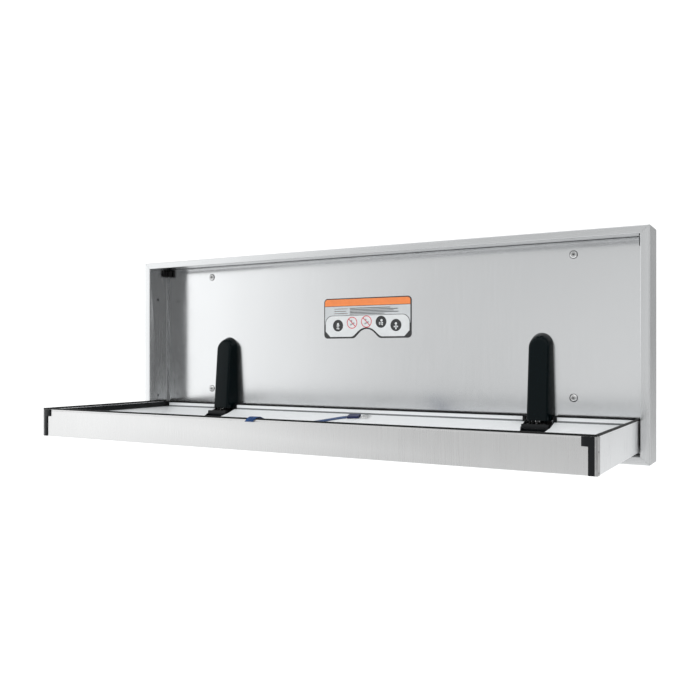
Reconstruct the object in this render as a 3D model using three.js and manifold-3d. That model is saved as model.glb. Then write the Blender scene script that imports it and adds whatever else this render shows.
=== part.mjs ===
// Wall-mounted fold-down changing table, adult length. Millimetres, +Z up.
// The origin is the centre of the back face that lies on the wall, with +X to the right and the
// front towards -Y. Pieces are modelled in cabinet coordinates: X from the middle, Y from the
// plane of the front flange into the wall, Z from the bottom of the cabinet. One group moves
// them into the part's own frame. The bed is modelled open.
import * as THREE from 'three';
import { mergeVertices } from 'three/addons/utils/BufferGeometryUtils.js';
import Module from 'manifold-3d';

const wasm = await Module();
wasm.setup();

// Driving dimensions
const width = 1860;
const height = 658;
const depth = 111;
const gap = 0.3; // between neighbouring pieces
const cabinetSheet = 1.5;
const panelSheet = 2;
const flangeSide = 25.3;
const flangeEnd = 22.6;
const lipDepth = 8;
const joggle = 6; // the inner walls stand this far behind the edge of the flange
const panelFront = depth - panelSheet;

const bedHalf = 901;
const bedFront = -496;
const bedRear = 92;
const bedBottom = 34.4;
const bedTop = 126.3;
const rearTop = 121; // the rear edge is lower, to clear the back panel as the bed turns
const bedSheet = 2;

const hingeX = 601;
const hingeY = 50;
const hingeZ = 84.4;
const hingePin = 6;
const springPin = 4;
const eyeRadius = 12;

// The gas spring runs from its upper pin to its clevis pin.
const springTop = { y: 85, z: 318 };
const clevis = { y: 71.4, z: 102.1 };
const springLength = Math.hypot(springTop.y - clevis.y, springTop.z - clevis.z);
const springLean = Math.atan2(springTop.y - clevis.y, springTop.z - clevis.z);
// The lever's eye is centred on the middle of the clevis pin's path, with room for all of it.
const leverReach = 25;
const leverAngle = THREE.MathUtils.degToRad(45);
const leverEye = {
  y: hingeY + leverReach * Math.cos(leverAngle),
  z: hingeZ + leverReach * Math.sin(leverAngle),
};
const leverHole = 8.4;

const linerSheet = 4;
const linerWall = 3;
const linerFloor = 56;
const linerCrease = 101;
const linerTop = 118;
const linerSlope = Math.tan(THREE.MathUtils.degToRad(17));
const linerBend = 130; // the slope runs straight to here, then bends into the floor
const linerFlat = 172; // the bend ends here
const pocketHalf = 42;
const pocketFrontHalf = 25; // the pocket narrows towards the middle of the bed

const coverHalf = 35;
const coverFootHalf = 41; // the sides spread towards the foot
const coverFaceHalf = 28.5;
const coverBottom = 106;
const coverTop = 370;
const coverWall = 2;

const strapWidth = 20;
const strapThickness = 1.6;

// Finishes
const finish = (color, roughness, metalness) =>
  new THREE.MeshStandardMaterial({ color, roughness, metalness });
const stainless = finish(0xb9bcbd, 0.32, 1);
const stainlessPanel = finish(0xc2c5c6, 0.22, 1);
const steel = finish(0x8d9093, 0.4, 1);
const blackPlastic = finish(0x101214, 0.3, 0);
const blackRubber = finish(0x161718, 0.75, 0);
const blackSteel = finish(0x1b1c1e, 0.5, 0.6);
const liner = finish(0xd8dbde, 0.42, 0);
const webbing = finish(0x14466e, 0.85, 0);
const navyPlastic = finish(0x0b1238, 0.35, 0);
const chrome = finish(0xc9cccf, 0.12, 1);
const plate = finish(0xd9dcdd, 0.5, 0);

// Shapes
const outline = (points) => new THREE.Shape(points.map(([a, b]) => new THREE.Vector2(a, b)));

/** Extrudes a (Y, Z) outline along X. */
function alongX(shape, x0, x1, curveSegments = 8) {
  const g = new THREE.ExtrudeGeometry(shape, { depth: x1 - x0, bevelEnabled: false, curveSegments });
  const basis = new THREE.Matrix4().makeBasis(
    new THREE.Vector3(0, 1, 0), new THREE.Vector3(0, 0, 1), new THREE.Vector3(1, 0, 0));
  return g.applyMatrix4(basis).translate(x0, 0, 0);
}

/** Extrudes an (X, Z) outline along Y. */
function alongY(shape, y0, y1, curveSegments = 8) {
  const g = new THREE.ExtrudeGeometry(shape, { depth: y1 - y0, bevelEnabled: false, curveSegments });
  return g.rotateX(Math.PI / 2).translate(0, y1, 0);
}

function box(x0, x1, y0, y1, z0, z1) {
  const g = new THREE.BoxGeometry(x1 - x0, y1 - y0, z1 - z0);
  return g.translate((x0 + x1) / 2, (y0 + y1) / 2, (z0 + z1) / 2);
}

function rodX(radius, x0, x1, y, z, segments = 20) {
  const g = new THREE.CylinderGeometry(radius, radius, x1 - x0, segments).rotateZ(Math.PI / 2);
  return g.translate((x0 + x1) / 2, y, z);
}

/** Turns a profile of [radius, height] points round the Z axis. */
function turned(points, segments = 20) {
  const profile = points.map(([r, h]) => new THREE.Vector2(r, h));
  if (THREE.ShapeUtils.area(profile) < 0) {
    profile.reverse();
  }
  return new THREE.LatheGeometry(profile, segments).rotateX(Math.PI / 2);
}

/** A closed solid through a list of rings with equal numbers of points, flat at both ends. */
function loft(rings) {
  const n = rings[0].length;
  const positions = rings.flatMap((ring) => ring.flatMap((p) => [p.x, p.y, p.z]));
  const faces = [];
  for (let r = 0; r < rings.length - 1; r += 1) {
    for (let i = 0; i < n; i += 1) {
      const a = r * n + i;
      const b = r * n + ((i + 1) % n);
      faces.push(a, b, a + n, b, b + n, a + n);
    }
  }
  const last = (rings.length - 1) * n;
  for (let i = 1; i < n - 1; i += 1) {
    faces.push(0, i + 1, i, last, last + i, last + i + 1);
  }
  const g = new THREE.BufferGeometry();
  g.setAttribute('position', new THREE.Float32BufferAttribute(positions, 3));
  g.setIndex(volume(positions, faces) < 0 ? faces.reverse() : faces);
  return g;
}

function volume(positions, faces) {
  const corner = (i) => new THREE.Vector3().fromArray(positions, 3 * i);
  let sum = 0;
  for (let f = 0; f < faces.length; f += 3) {
    sum += corner(faces[f]).dot(corner(faces[f + 1]).cross(corner(faces[f + 2]))) / 6;
  }
  return sum;
}

// Booleans
function solid(geometry) {
  const bare = geometry.clone();
  bare.deleteAttribute('normal');
  bare.deleteAttribute('uv');
  const merged = mergeVertices(bare, 1e-4);
  return new wasm.Manifold(new wasm.Mesh({
    numProp: 3,
    vertProperties: new Float32Array(merged.attributes.position.array),
    triVerts: new Uint32Array(merged.index.array),
  }));
}

function geometryOf(manifold) {
  const mesh = manifold.getMesh();
  const g = new THREE.BufferGeometry();
  g.setAttribute('position', new THREE.BufferAttribute(mesh.vertProperties, 3));
  g.setIndex(new THREE.BufferAttribute(mesh.triVerts, 1));
  g.computeVertexNormals();
  return g;
}

const join = (...pieces) => geometryOf(pieces.map(solid).reduce((a, b) => a.add(b)));
const cut = (piece, ...tools) =>
  geometryOf(tools.map(solid).reduce((a, b) => a.subtract(b), solid(piece)));
const within = (piece, tool) => geometryOf(solid(piece).intersect(solid(tool)));

// The scene graph
const table = new THREE.Group();
const cabinet = new THREE.Group();
cabinet.position.set(0, -depth, -height / 2);
table.add(cabinet);

function put(parent, name, geometry, material) {
  const mesh = new THREE.Mesh(geometry, material);
  mesh.name = name;
  parent.add(mesh);
  return mesh;
}

const sides = [['left', -1], ['right', 1]];

// Cabinet

/** A frame member's section: outer wall, front flange, joggled lip and inner wall. */
function memberSection(flange) {
  const t = cabinetSheet;
  const bend = 2.5;
  const inner = flange - joggle;
  const s = new THREE.Shape();
  s.moveTo(0, depth);
  s.lineTo(0, bend);
  s.absarc(bend, bend, bend, Math.PI, 1.5 * Math.PI, false);
  s.lineTo(flange - bend, 0);
  s.absarc(flange - bend, bend, bend, -0.5 * Math.PI, 0, false);
  s.lineTo(flange, lipDepth);
  s.lineTo(inner, lipDepth);
  s.lineTo(inner, panelFront - gap);
  s.lineTo(inner - t, panelFront - gap);
  s.lineTo(inner - t, lipDepth - t);
  s.lineTo(flange - t, lipDepth - t);
  s.lineTo(flange - t, t);
  s.lineTo(t, t);
  s.lineTo(t, depth);
  return s;
}

/** A member along +Z from its outer corner, its ends mitred to meet flanges of another width. */
function member(length, flange, otherFlange) {
  const g = new THREE.ExtrudeGeometry(memberSection(flange), {
    depth: length, bevelEnabled: false, curveSegments: 4,
  });
  const p = g.attributes.position;
  for (let i = 0; i < p.count; i += 1) {
    const mitre = (p.getX(i) * otherFlange) / flange + gap / 2;
    p.setZ(i, p.getZ(i) < length / 2 ? mitre : length - mitre);
  }
  g.computeVertexNormals();
  return g;
}

const wallHoles = [{ y: 52, z: 145 }, { y: 52, z: 520 }];

function sideMember(upsideDown) {
  const inner = flangeSide - joggle;
  const drills = wallHoles.map((h) => rodX(5, inner - 4, inner + 2, h.y,
    upsideDown ? height - h.z : h.z, 24));
  return cut(member(height, flangeSide, flangeEnd), ...drills);
}

const members = [
  { name: 'frame_left', turn: 0, at: [-width / 2, 0], shape: sideMember(false) },
  { name: 'frame_top', turn: 1, at: [-width / 2, height], shape: member(width, flangeEnd, flangeSide) },
  { name: 'frame_right', turn: 2, at: [width / 2, height], shape: sideMember(true) },
  { name: 'frame_bottom', turn: 3, at: [width / 2, 0], shape: member(width, flangeEnd, flangeSide) },
];
for (const m of members) {
  const mesh = put(cabinet, m.name, m.shape, stainless);
  mesh.position.set(m.at[0], 0, m.at[1]);
  mesh.rotation.y = (m.turn * Math.PI) / 2;
}

const wallScrews = [[-686, 602], [-686, 174], [697, 602], [697, 174]];

function backPanel() {
  const inset = cabinetSheet + gap;
  const x = width / 2 - inset;
  const s = outline([[-x, inset], [x, inset], [x, height - inset], [-x, height - inset]]);
  for (const [sx, sz] of wallScrews) {
    s.holes.push(new THREE.Path().absarc(sx, sz, 4.5, 0, 2 * Math.PI, true));
  }
  return alongY(s, panelFront, depth, 6);
}
put(cabinet, 'back_panel', backPanel(), stainlessPanel);

// Screw and cup washer: heights run from the front of the back panel towards the room.
const wallScrewProfile = [
  [0, -panelSheet], [4.2, -panelSheet], [4.2, gap], [11, gap], [11, 1.3], [8.6, 3], [6.8, 3],
  [6.2, 1.8], [5.6, 1.8], [5, 3.2], [2.6, 3.9], [0, 4],
];
wallScrews.forEach(([x, z], i) => {
  const screw = put(cabinet, `wall_screw_${i + 1}`, turned(wallScrewProfile), chrome);
  screw.position.set(x, panelFront, z);
  screw.rotation.x = Math.PI / 2;
});

/** A rounded plate with an arched notch in the middle of its lower edge. */
function instructionPlate() {
  const [x, z0, z1, r] = [170, 360, 500, 14];
  const [notch, notchTop] = [56, 392];
  const s = new THREE.Shape();
  s.moveTo(-x + r, z0);
  s.lineTo(-notch, z0);
  s.bezierCurveTo(-notch * 0.7, z0, -notch * 0.55, notchTop, 0, notchTop);
  s.bezierCurveTo(notch * 0.55, notchTop, notch * 0.7, z0, notch, z0);
  s.lineTo(x - r, z0);
  s.absarc(x - r, z0 + r, r, -Math.PI / 2, 0, false);
  s.absarc(x - r, z1 - r, r, 0, Math.PI / 2, false);
  s.absarc(-x + r, z1 - r, r, Math.PI / 2, Math.PI, false);
  s.absarc(-x + r, z0 + r, r, Math.PI, 1.5 * Math.PI, false);
  return alongY(s, panelFront - gap - 1.5, panelFront - gap);
}
put(cabinet, 'instruction_plate', instructionPlate(), plate).position.x = -7;

/** A rubber block in the upper rear corner: a pad on the side wall and a stop behind the rim. */
function bumper(side) {
  const wall = width / 2 - flangeSide + joggle - gap;
  const stop = hingeY + bedTop - hingeZ + 0.8;
  const pad = box(wall - 7, wall, 74, 107, 613, 638);
  const block = box(wall - 24, wall, stop, 107, 613, 638);
  return join(pad, block).scale(side, 1, 1);
}
for (const [name, side] of sides) {
  const g = bumper(1);
  put(cabinet, `bumper_${name}`, side > 0 ? g : mirrored(g), blackRubber);
}

/** The same solid on the other side, with its faces turned to point outwards again. */
function mirrored(geometry) {
  const g = geometry.clone().scale(-1, 1, 1);
  const index = Array.from(g.index.array).reverse();
  g.setIndex(index);
  g.computeVertexNormals();
  return g;
}

// Hinges: each side's pieces are modelled about the middle of its hinge

const eye = (y, z, radius, x0, x1) => rodX(radius, x0, x1, y, z);

function earPair(shape, inside, outside, y, z, radius, hole) {
  return [[-outside, -inside], [inside, outside]].map(([x0, x1]) => cut(
    join(alongX(shape, x0, x1), eye(y, z, radius, x0, x1)),
    rodX(hole, x0 - 1, x1 + 1, y, z),
  ));
}

/** Base plate on the back panel, two ears for the hinge pin and two for the spring's pin. */
function hingeBracket() {
  const base = box(-30, 30, 105, panelFront - gap, 64, 340);
  const root = 106;
  const lower = outline([
    [root, 70], [root, 102], [hingeY, hingeZ + eyeRadius], [hingeY, hingeZ - eyeRadius],
  ]);
  const upper = outline([
    [root, 302], [root, 334], [springTop.y, springTop.z + 9], [springTop.y, springTop.z - 9],
  ]);
  return join(
    base,
    ...earPair(lower, 12, 16, hingeY, hingeZ, eyeRadius, hingePin + gap),
    ...earPair(upper, 10.5, 13.5, springTop.y, springTop.z, 9, springPin + gap),
  );
}

/** A pin along X with a round head at each end. */
function headedPin(radius, half, headRadius, headLength) {
  const end = half + headLength;
  return turned([
    [0, -end], [headRadius - 1, -end], [headRadius, -end + 1], [headRadius, -half],
    [radius, -half], [radius, half], [headRadius, half], [headRadius, end - 1],
    [headRadius - 1, end], [0, end],
  ]).rotateY(Math.PI / 2);
}

/** An arch outline in X and Z at a depth that changes with height. */
function arch(half, bottom, top, depthAt, footHalf = half) {
  const steps = 16;
  const centre = top - half;
  const points = [[-footHalf, bottom], [footHalf, bottom]];
  for (let i = 0; i <= steps; i += 1) {
    const a = (Math.PI * i) / steps;
    points.push([half * Math.cos(a), centre + half * Math.sin(a)]);
  }
  return points.map(([x, z]) => new THREE.Vector3(x, depthAt(z), z));
}

/** The cover's shell: its face leans back towards the top, and its arched top slopes back. */
function hingeCover() {
  const back = panelFront - gap;
  const lean = 16 / 191;
  const face = (z) => 55 + (z - 130) * lean;
  const outer = loft([
    arch(coverHalf, coverBottom, coverTop, () => back, coverFootHalf),
    arch(coverFaceHalf + 3.5, coverBottom, coverTop - 13, (z) => face(z) + 6, coverFaceHalf + 4.5),
    arch(coverFaceHalf + 1.5, coverBottom, coverTop - 17, (z) => face(z) + 1.8),
    arch(coverFaceHalf - 2.5, coverBottom, coverTop - 22, face),
  ]);
  const w = coverWall;
  const hollow = loft([
    arch(coverHalf - w, coverBottom - 5, coverTop - w, () => back + 1, coverFootHalf - w),
    arch(coverFaceHalf + 1.2, coverBottom - 5, coverTop - 15 - w, (z) => face(z) + 7),
    arch(coverFaceHalf - 3.5, coverBottom - 5, coverTop - 23 - w, (z) => face(z) + w),
  ]);
  return cut(outer, hollow);
}

/** Base on the bed's bottom, two arms to the hinge pin and the lever that the spring pushes. */
function hingeArm() {
  const base = box(-27, 27, -42, 34, 36.7, 40.7);
  const neck = outline([
    [-42, 38], [-42, 50], [-20, 60], [14, 67], [39, 78], [58, 74], [46, 52], [34, 38],
  ]);
  const arm = (x0, x1, radius) => join(
    alongX(neck, x0, x1), eye(hingeY, hingeZ, radius, x0, x1));
  const bridge = outline([
    [hingeY - 3, hingeZ + 6], [hingeY + 8, hingeZ - 9],
    [leverEye.y + 5, leverEye.z - 9], [leverEye.y - 4, leverEye.z + 6],
  ]);
  const lever = join(
    arm(-3, 3, eyeRadius), alongX(bridge, -3, 3), eye(leverEye.y, leverEye.z, 11.8, -3, 3));
  return cut(
    join(base, arm(-26, -22, 14), arm(22, 26, 14), lever),
    rodX(hingePin + gap, -30, 30, hingeY, hingeZ),
    rodX(leverHole, -5, 5, leverEye.y, leverEye.z),
  );
}

/** An upright prism from below the bed to above it. */
const column = (ring) => loft([0, 200].map((z) => ring.map((p) => new THREE.Vector3(p.x, p.y, z))));

/** The pocket's plan, grown by a clearance on its sides. */
function pocketPlan(clearance, front = -22.5, rear = 88) {
  const side = (sign) => [
    [sign * (pocketFrontHalf + clearance), front], [sign * (pocketHalf + clearance), 40],
    [sign * (pocketHalf + clearance), rear],
  ];
  return [...side(-1), ...side(1).reverse()].map(([x, y]) => new THREE.Vector3(x, y, 0));
}

/** A black trough in the rear edge of the bed: a floor that rises round the hinge, two cheeks. */
function hingePocket() {
  const cheekSheet = 2.5;
  const [inside, outside] = [17, 19.5];
  const rad = THREE.MathUtils.degToRad;
  const s = new THREE.Shape();
  s.moveTo(-22.5, 65.5);
  s.lineTo(14, 70.2);
  s.lineTo(hingeY + inside * Math.cos(rad(207)), hingeZ + inside * Math.sin(rad(207)));
  s.absarc(hingeY, hingeZ, inside, rad(207), rad(142), true);
  s.absarc(hingeY, hingeZ, outside, rad(142), rad(200), false);
  s.lineTo(13, 73);
  s.lineTo(-22.5, 68);
  const cheek = outline([
    [-22.5, 60], [-22.5, 69], [77, 99.6], [79, 116], [88, 116], [88, 60],
  ]);
  const wide = pocketHalf + 10;
  const walls = cut(
    within(alongX(cheek, -wide, wide), column(pocketPlan(cheekSheet))),
    column(pocketPlan(0, -30, 100)),
  );
  return join(walls, within(alongX(s, -wide, wide, 10), column(pocketPlan(0.5))));
}

// Gas springs: modelled hanging straight down from the upper pin, then leaned forward

function springTube() {
  const body = turned([
    [0, -6], [7, -6], [7, -12], [9.5, -15], [9.5, -150], [4.6, -150], [4.6, -146],
    [7.6, -146], [7.6, -18], [0, -18],
  ]);
  return cut(join(body, rodX(9, -8, 8, 0, 0)), rodX(springPin + gap, -9, 9, 0, 0));
}

function springRod() {
  const end = -springLength;
  const piston = end + 150;
  const shaft = turned([
    [0, piston], [7.1, piston], [7.1, piston - 4], [4, piston - 4], [4, end + 20], [0, end + 20],
  ]);
  const fork = cut(
    join(box(-7, 7, -7, 7, end, end + 26), rodX(7, -7, 7, 0, end)),
    box(-3.7, 3.7, -8, 8, end - 8, end + 18),
  );
  return join(shaft, fork, rodX(springPin, -7, 7, 0, end));
}

for (const [name, side] of sides) {
  const hinge = new THREE.Group();
  hinge.position.x = side * hingeX;
  cabinet.add(hinge);
  put(hinge, `hinge_bracket_${name}`, hingeBracket(), blackSteel);
  put(hinge, `hinge_cover_${name}`, hingeCover(), blackPlastic);
  put(hinge, `hinge_arm_${name}`, hingeArm(), blackSteel);
  put(hinge, `hinge_pocket_${name}`, hingePocket(), blackPlastic);
  const pin = put(hinge, `hinge_pin_${name}`, headedPin(hingePin, 26 + gap, 9, 3), steel);
  pin.position.set(0, hingeY, hingeZ);

  const spring = new THREE.Group();
  spring.position.set(0, springTop.y, springTop.z);
  spring.rotation.x = -springLean;
  hinge.add(spring);
  put(spring, `spring_pin_${name}`, headedPin(springPin, 13.5 + gap, 6, 2.5), steel);
  put(spring, `spring_tube_${name}`, springTube(), blackSteel);
  put(spring, `spring_rod_${name}`, springRod(), chrome);
}

// Bed

const linerOuter = {
  x: bedHalf - bedSheet - 0.4,
  y0: bedFront + bedSheet + 0.4,
  y1: bedRear - bedSheet - 0.4,
};

/** The liner's top surface at a distance in from its outer edge. */
function linerHeight(inset) {
  if (inset <= linerBend) {
    return linerCrease - Math.max(0, inset - linerWall) * linerSlope;
  }
  const drop = linerHeight(linerBend) - linerFloor;
  const run = (2 * drop) / linerSlope;
  const left = Math.max(0, linerBend + run - inset);
  return linerFloor + (linerSlope * left * left) / (2 * run);
}

/** A rounded rectangle inside the liner's outline. Its corners grow rounder further in. */
function linerRing(inset, z) {
  const steps = 8;
  const radius = 8 + 0.12 * inset;
  const x = linerOuter.x - inset - radius;
  const y0 = linerOuter.y0 + inset + radius;
  const y1 = linerOuter.y1 - inset - radius;
  const corners = [[x, y1, 0], [-x, y1, 1], [-x, y0, 2], [x, y0, 3]];
  return corners.flatMap(([cx, cy, quarter]) => Array.from({ length: steps + 1 }, (_, i) => {
    const a = ((quarter + i / steps) * Math.PI) / 2;
    return new THREE.Vector3(cx + radius * Math.cos(a), cy + radius * Math.sin(a), z);
  }));
}

function bedLiner() {
  const insets = [8, 40, 85, linerBend, 140, 150, 160, linerFlat];
  const under = insets.toReversed().map((d) => linerRing(d, linerHeight(d) - linerSheet));
  const over = insets.map((d) => linerRing(d, linerHeight(d)));
  return cut(loft([
    ...under,
    linerRing(0, linerCrease - linerSheet),
    linerRing(0, linerTop),
    linerRing(linerWall, linerTop),
    linerRing(linerWall, linerCrease),
    ...over,
  ]), ...sides.map(([, side]) => column(pocketPlan(3, -23, 120)).translate(side * hingeX, 0, 0)));
}

/** The four sides of the liner's outline, each a prism that meets the next on a mitre. */
function linerWedges() {
  const { x, y0, y1 } = linerOuter;
  const mitre = gap / Math.SQRT2;
  const [outside, reach] = [-1, 220]; // past the rim, and past the floor's rounded corners
  const ends = (a0, a1, d) => [a0 + mitre + d, a1 - mitre - d];
  const lengthwise = (edge, inward) => [outside, reach].flatMap((d, i) => {
    const row = ends(-x, x, d).map((a) => new THREE.Vector3(a, edge + inward * d, 0));
    return i ? row.reverse() : row;
  });
  const crosswise = (edge, inward) => [outside, reach].flatMap((d, i) => {
    const row = ends(y0, y1, d).map((a) => new THREE.Vector3(edge + inward * d, a, 0));
    return i ? row.reverse() : row;
  });
  return {
    front: lengthwise(y0, 1), rear: lengthwise(y1, -1),
    left: crosswise(-x, 1), right: crosswise(x, -1),
  };
}

const wholeLiner = bedLiner();
put(cabinet, 'liner_floor', loft([linerFloor - linerSheet, linerFloor].map(
  (z) => linerRing(linerFlat + gap, z))), liner);
const linerSides = cut(wholeLiner, column(linerRing(linerFlat, 0)));
for (const [name, wedge] of Object.entries(linerWedges())) {
  put(cabinet, `liner_${name}`, within(linerSides, column(wedge)), liner);
}

put(cabinet, 'bed_bottom_panel', box(
  -bedHalf + bedSheet + gap, bedHalf - bedSheet - gap,
  bedFront + bedSheet + gap, 78, bedBottom, bedBottom + bedSheet), stainless);

const sheetTop = bedTop - 2.3;

/** The front sheet, with the shallow crease below its top edge. */
function frontPanel() {
  const [y0, y1] = [bedFront, bedFront + bedSheet];
  const crease = 118;
  return alongX(outline([
    [y0 + 1.2, bedBottom], [y1, bedBottom], [y1, sheetTop], [y0, sheetTop], [y0, crease + 1],
    [y0 + 0.7, crease + 0.3], [y0 + 0.7, crease - 0.3], [y0, crease - 1], [y0, bedBottom + 1.2],
  ]), -bedHalf, bedHalf);
}
put(cabinet, 'bed_front_panel', frontPanel(), stainless);

/** The rear sheet, bent forward at its foot and notched for the hinges. */
function rearPanel() {
  const inner = bedRear - bedSheet;
  const x = bedHalf - bedSheet - gap;
  const top = rearTop - 2.3;
  const s = outline([
    [78 + gap, bedBottom], [80.4, bedBottom], [bedRear, 46], [bedRear, top], [inner, top],
    [inner, 46.8], [79.6, bedBottom + bedSheet], [78 + gap, bedBottom + bedSheet],
  ]);
  const half = pocketHalf + 3;
  return cut(alongX(s, -x, x), ...sides.map(([, side]) => box(
    side * hingeX - half, side * hingeX + half, 60, 120, 58, 200)));
}
put(cabinet, 'bed_rear_panel', rearPanel(), stainless);

// The side sheet is notched at its top front corner for the front trim.
const sidePanelOutline = outline([
  [bedFront + bedSheet + gap, bedBottom], [80.4, bedBottom], [bedRear, 46], [bedRear, 112],
  [80, sheetTop], [bedFront + 6.8, sheetTop], [bedFront + 6.8, 118.9],
  [bedFront + bedSheet + gap, 118.9],
]);

/** A trim's section: an upturned channel over a sheet's edge. It is [across, height]. */
function trimSection(top) {
  return [
    [-1, top - 4.3], [-gap, top - 4.3], [-gap, top - 2], [5.6, top - 2], [5.6, top - 5],
    [6.4, top - 5], [6.4, top - 0.8], [5.6, top], [-0.2, top], [-1, top - 0.8],
  ];
}

/** A trim along X whose outer face looks forward (facing -1) or back (facing 1). */
function trimAlongX(edge, facing, top, x0, x1) {
  const points = trimSection(top).map(([d, z]) => [edge - facing * d, z]);
  return alongX(outline(points), x0, x1);
}
put(cabinet, 'trim_front', trimAlongX(bedFront, -1, bedTop, -bedHalf, bedHalf), blackRubber);
const rearTrims = [
  ['trim_rear_left', -884, -hingeX - pocketHalf - 3],
  ['trim_rear_middle', -hingeX + pocketHalf + 3, hingeX - pocketHalf - 3],
  ['trim_rear_right', hingeX + pocketHalf + 3, 884],
];
for (const [name, x0, x1] of rearTrims) {
  put(cabinet, name, trimAlongX(bedRear, 1, rearTop, x0, x1), blackRubber);
}

/** A guard on a front corner: a block at the top, a strip down the edge and a side leg. */
function cornerGuard() {
  const y0 = bedFront - 2.5;
  const y1 = bedFront - gap;
  const top = bedTop - 4.6;
  return join(
    box(866, 903, y0, y1, 100, top),
    box(881, 903, y0, y1, bedBottom, 104),
    box(bedHalf + gap, 903, y0, -478, bedBottom, top),
  );
}

for (const [name, side] of sides) {
  const handed = (g) => (side > 0 ? g : mirrored(mergeVertices(g)));
  const trim = alongY(outline(trimSection(bedTop).map(([d, z]) => [bedHalf - d, z])),
    bedFront + 6.4 + gap, 79);
  put(cabinet, `bed_side_${name}`,
    handed(alongX(sidePanelOutline, bedHalf - bedSheet, bedHalf)), stainless);
  put(cabinet, `trim_${name}`, handed(trim), blackRubber);
  put(cabinet, `side_guard_${name}`, handed(box(892, 895.3, -480, 74, 101.8, 118.6)), blackPlastic);
  put(cabinet, `corner_guard_${name}`, handed(cornerGuard()), blackPlastic);
}

/** A flat box tube under the liner, open at both ends. */
function beam(x) {
  const [half, z0, z1, wall] = [25, bedBottom + bedSheet + gap, linerFloor - 4.4, 2];
  const s = outline([[-half, z0], [half, z0], [half, z1], [-half, z1]]);
  s.holes.push(new THREE.Path([
    [-half + wall, z0 + wall], [-half + wall, z1 - wall],
    [half - wall, z1 - wall], [half - wall, z0 + wall],
  ].map(([a, b]) => new THREE.Vector2(a, b))));
  return alongY(s, bedFront + 8, x === 0 ? 70 : -48);
}
for (const [name, x] of [['left', -hingeX], ['middle', 0], ['right', hingeX]]) {
  put(cabinet, `bed_beam_${name}`, beam(x), steel).position.x = x;
}

// Safety belt. A strap's route is a list of places on its middle line. Each also gives the
// strap's upward side and the direction of its edge-to-edge lines.
const slopeLean = Math.atan(linerSlope);
const slopeUp = [0, -Math.sin(slopeLean), Math.cos(slopeLean)];
const rearSlopeHeight = (y) => linerHeight(linerOuter.y1 - y);
const frontSlopeHeight = (y) => linerHeight(y - linerOuter.y0);

// The rear strap runs up the slope to the buckle.
const strapRearRoute = [[-160, -10], [-133, 6], [-106, 22], [-82, 37], [-66, 46], [-53, 50.6]].map(
  ([x, y]) => ({ at: [x, y, rearSlopeHeight(y) + 1.8], up: slopeUp }));

// The front strap crosses the rim at 45 degrees and hangs down outside it.
const strapFrontPath = [
  [-300, linerFloor + 2], [-335, linerFloor + 2.6],
  [-370, frontSlopeHeight(-370) + 2], [-410, frontSlopeHeight(-410) + 3],
  [-450, frontSlopeHeight(-450) + 8], [-478, 120.5], [-488.5, bedTop + 2.6],
  [-493, bedTop + 3.6], [-496.8, bedTop + 2.6], [-499, bedTop - 0.8],
  [-499.3, bedTop - 5], [-499.4, bedTop - 10.5],
];
const hangingEnd = -50;
let travelled = 0;
const strapFrontRoute = strapFrontPath.toReversed().map(([y, z], i, path) => {
  const [py, pz] = path[Math.max(0, i - 1)];
  travelled += Math.hypot(y - py, z - pz);
  return { at: [hangingEnd + travelled, y, z], across: [1, 0, 0] };
}).toReversed();

/** A strap along a route. Its sections are square to it, or run along a given direction. */
function strap(route) {
  const points = route.map((p) => new THREE.Vector3(...p.at));
  return loft(route.map((p, i) => {
    const before = points[Math.max(0, i - 1)];
    const after = points[Math.min(points.length - 1, i + 1)];
    const ahead = after.clone().sub(before).normalize();
    const across = p.across
      ? new THREE.Vector3(...p.across)
      : ahead.clone().cross(new THREE.Vector3(...p.up)).normalize();
    const lift = across.clone().cross(ahead).normalize();
    const half = strapWidth / 2 / across.clone().cross(ahead).length();
    return [[-1, -1], [1, -1], [1, 1], [-1, 1]].map(([a, b]) => points[i].clone()
      .addScaledVector(across, a * half)
      .addScaledVector(lift, (b * strapThickness) / 2));
  }));
}
put(cabinet, 'strap_rear', strap(strapRearRoute), webbing);
put(cabinet, 'strap_front', strap(strapFrontRoute), webbing);

/** Places a piece modelled round the origin on the liner, along the strap's direction. */
function onLiner(mesh, x, y, z, tilt, turn) {
  mesh.position.set(x, y, z);
  mesh.rotation.set(tilt, 0, turn, 'XYZ');
  return mesh;
}

/** The buckle's socket: a flat body with a mouth at one end. */
function buckleSocket() {
  return cut(
    join(box(-20, 20, -12, 12, 0, 8), box(-23.5, -19, -11, 11, 0.8, 6.6)),
    box(8, 30, -9, 9, 2, 6),
  );
}

/** The buckle's tongue: a sleeve round the strap with two prongs. */
function buckleTongue() {
  return join(
    cut(box(-13, 13, -16, 16, 0, 6.4), box(-20, 20, -13.2, 13.2, 1.2, 4.8)),
    box(12, 30, -10, -6, 2, 5.4),
    box(12, 30, 6, 10, 2, 5.4),
  );
}

const anchorPlate = () => cut(
  box(-11, 14, -15, 15, 0, 3.2), box(10, 15, -13, 13, 0.8, 2.9));

const buckleHeading = THREE.MathUtils.degToRad(8);
const buckleAt = { x: -24.5, y: 54 };
const anchorAt = { x: 18, y: 60 };
onLiner(put(cabinet, 'buckle_socket', buckleSocket(), navyPlastic),
  buckleAt.x, buckleAt.y, rearSlopeHeight(buckleAt.y) + 1, slopeLean, buckleHeading);
onLiner(put(cabinet, 'strap_anchor_rear', anchorPlate(), chrome), anchorAt.x, anchorAt.y,
  rearSlopeHeight(anchorAt.y) + 1, slopeLean, buckleHeading + Math.PI);
const innerEnd = strapFrontRoute[0].at;
onLiner(put(cabinet, 'strap_anchor_front', anchorPlate(), chrome),
  innerEnd[0] + 24, innerEnd[1] + 20, linerFloor + 0.6, 0, -0.75 * Math.PI);
onLiner(put(cabinet, 'buckle_tongue', buckleTongue(), navyPlastic),
  innerEnd[0] + 60, innerEnd[1] + 50, linerFloor + 0.6, 0, 0.3 * Math.PI);

export default table;
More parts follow.
